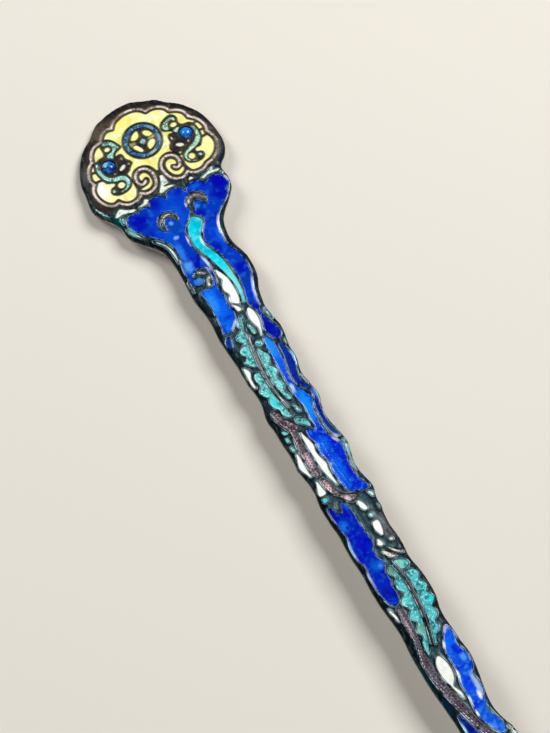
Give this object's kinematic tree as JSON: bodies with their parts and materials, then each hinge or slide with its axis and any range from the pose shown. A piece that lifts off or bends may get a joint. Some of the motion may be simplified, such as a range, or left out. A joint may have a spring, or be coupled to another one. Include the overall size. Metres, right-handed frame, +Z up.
{
  "type": "enamelled two-pronged hairpin",
  "caption": "Long flat forked silver hairpin with a lobed head and a wavy blade, both filled with enamel motifs, arched along its length.",
  "frame": {"origin": "middle of the pin's box at the height of the surface that it lies on", "axes": "+Y along the pin towards the lobed head, +X to the right seen from above, +Z up, out of the enamelled face"},
  "size_m": [0.0226, 0.174, 0.005],
  "materials": {
    "dark_silver": "blackened silver, worn at the walls",
    "pale_yellow": "glassy pale yellow enamel",
    "pink": "glassy pink enamel",
    "mid_blue": "glassy mid blue enamel",
    "light_blue": "glassy light blue enamel",
    "turquoise": "glassy turquoise enamel",
    "cream": "glassy cream enamel",
    "azure": "glassy azure enamel",
    "white": "glassy white enamel",
    "royal_blue": "glassy royal blue enamel",
    "mauve": "glassy mauve enamel",
    "cyan": "glassy cyan enamel",
    "brown_pink": "glassy brown pink enamel",
    "deep_blue": "glassy deep blue enamel",
    "green": "glassy green enamel"
  },
  "bodies": {
    "root": {"silver_pin": "dark_silver", "head_ground": "pale_yellow", "border_line": "pink", "coin_ring": "mid_blue", "coin_star": "light_blue", "coin_quarters": "pale_yellow", "left_bat_wings": "turquoise", "left_bat_spots": "cream", "left_dome": "azure", "right_bat_wings": "turquoise", "right_bat_spots": "cream", "right_dome": "azure", "white_collar": "white", "upper_field": "royal_blue", "left_crescent": "cream", "right_crescent": "mauve", "upper_swirl": "cream", "cyan_band": "cyan", "white_cloud": "white", "upper_leaf": "turquoise", "upper_midrib": "brown_pink", "deep_blue_strip": "deep_blue", "lower_field": "royal_blue", "upper_branch": "mauve", "branch_slivers": "white", "branch_buds": "turquoise", "blossom": "white", "blossom_middle": "light_blue", "lower_swirl": "cream", "left_field": "royal_blue", "left_bud": "green", "lower_leaf": "turquoise", "lower_midrib": "brown_pink", "lower_petals": "cream", "lower_branch": "mauve", "right_field": "royal_blue", "end_field": "royal_blue", "end_swirl": "green", "left_slivers": "light_blue", "small_pocket": "deep_blue", "right_slivers": "light_blue"}
  },
  "joints": []
}
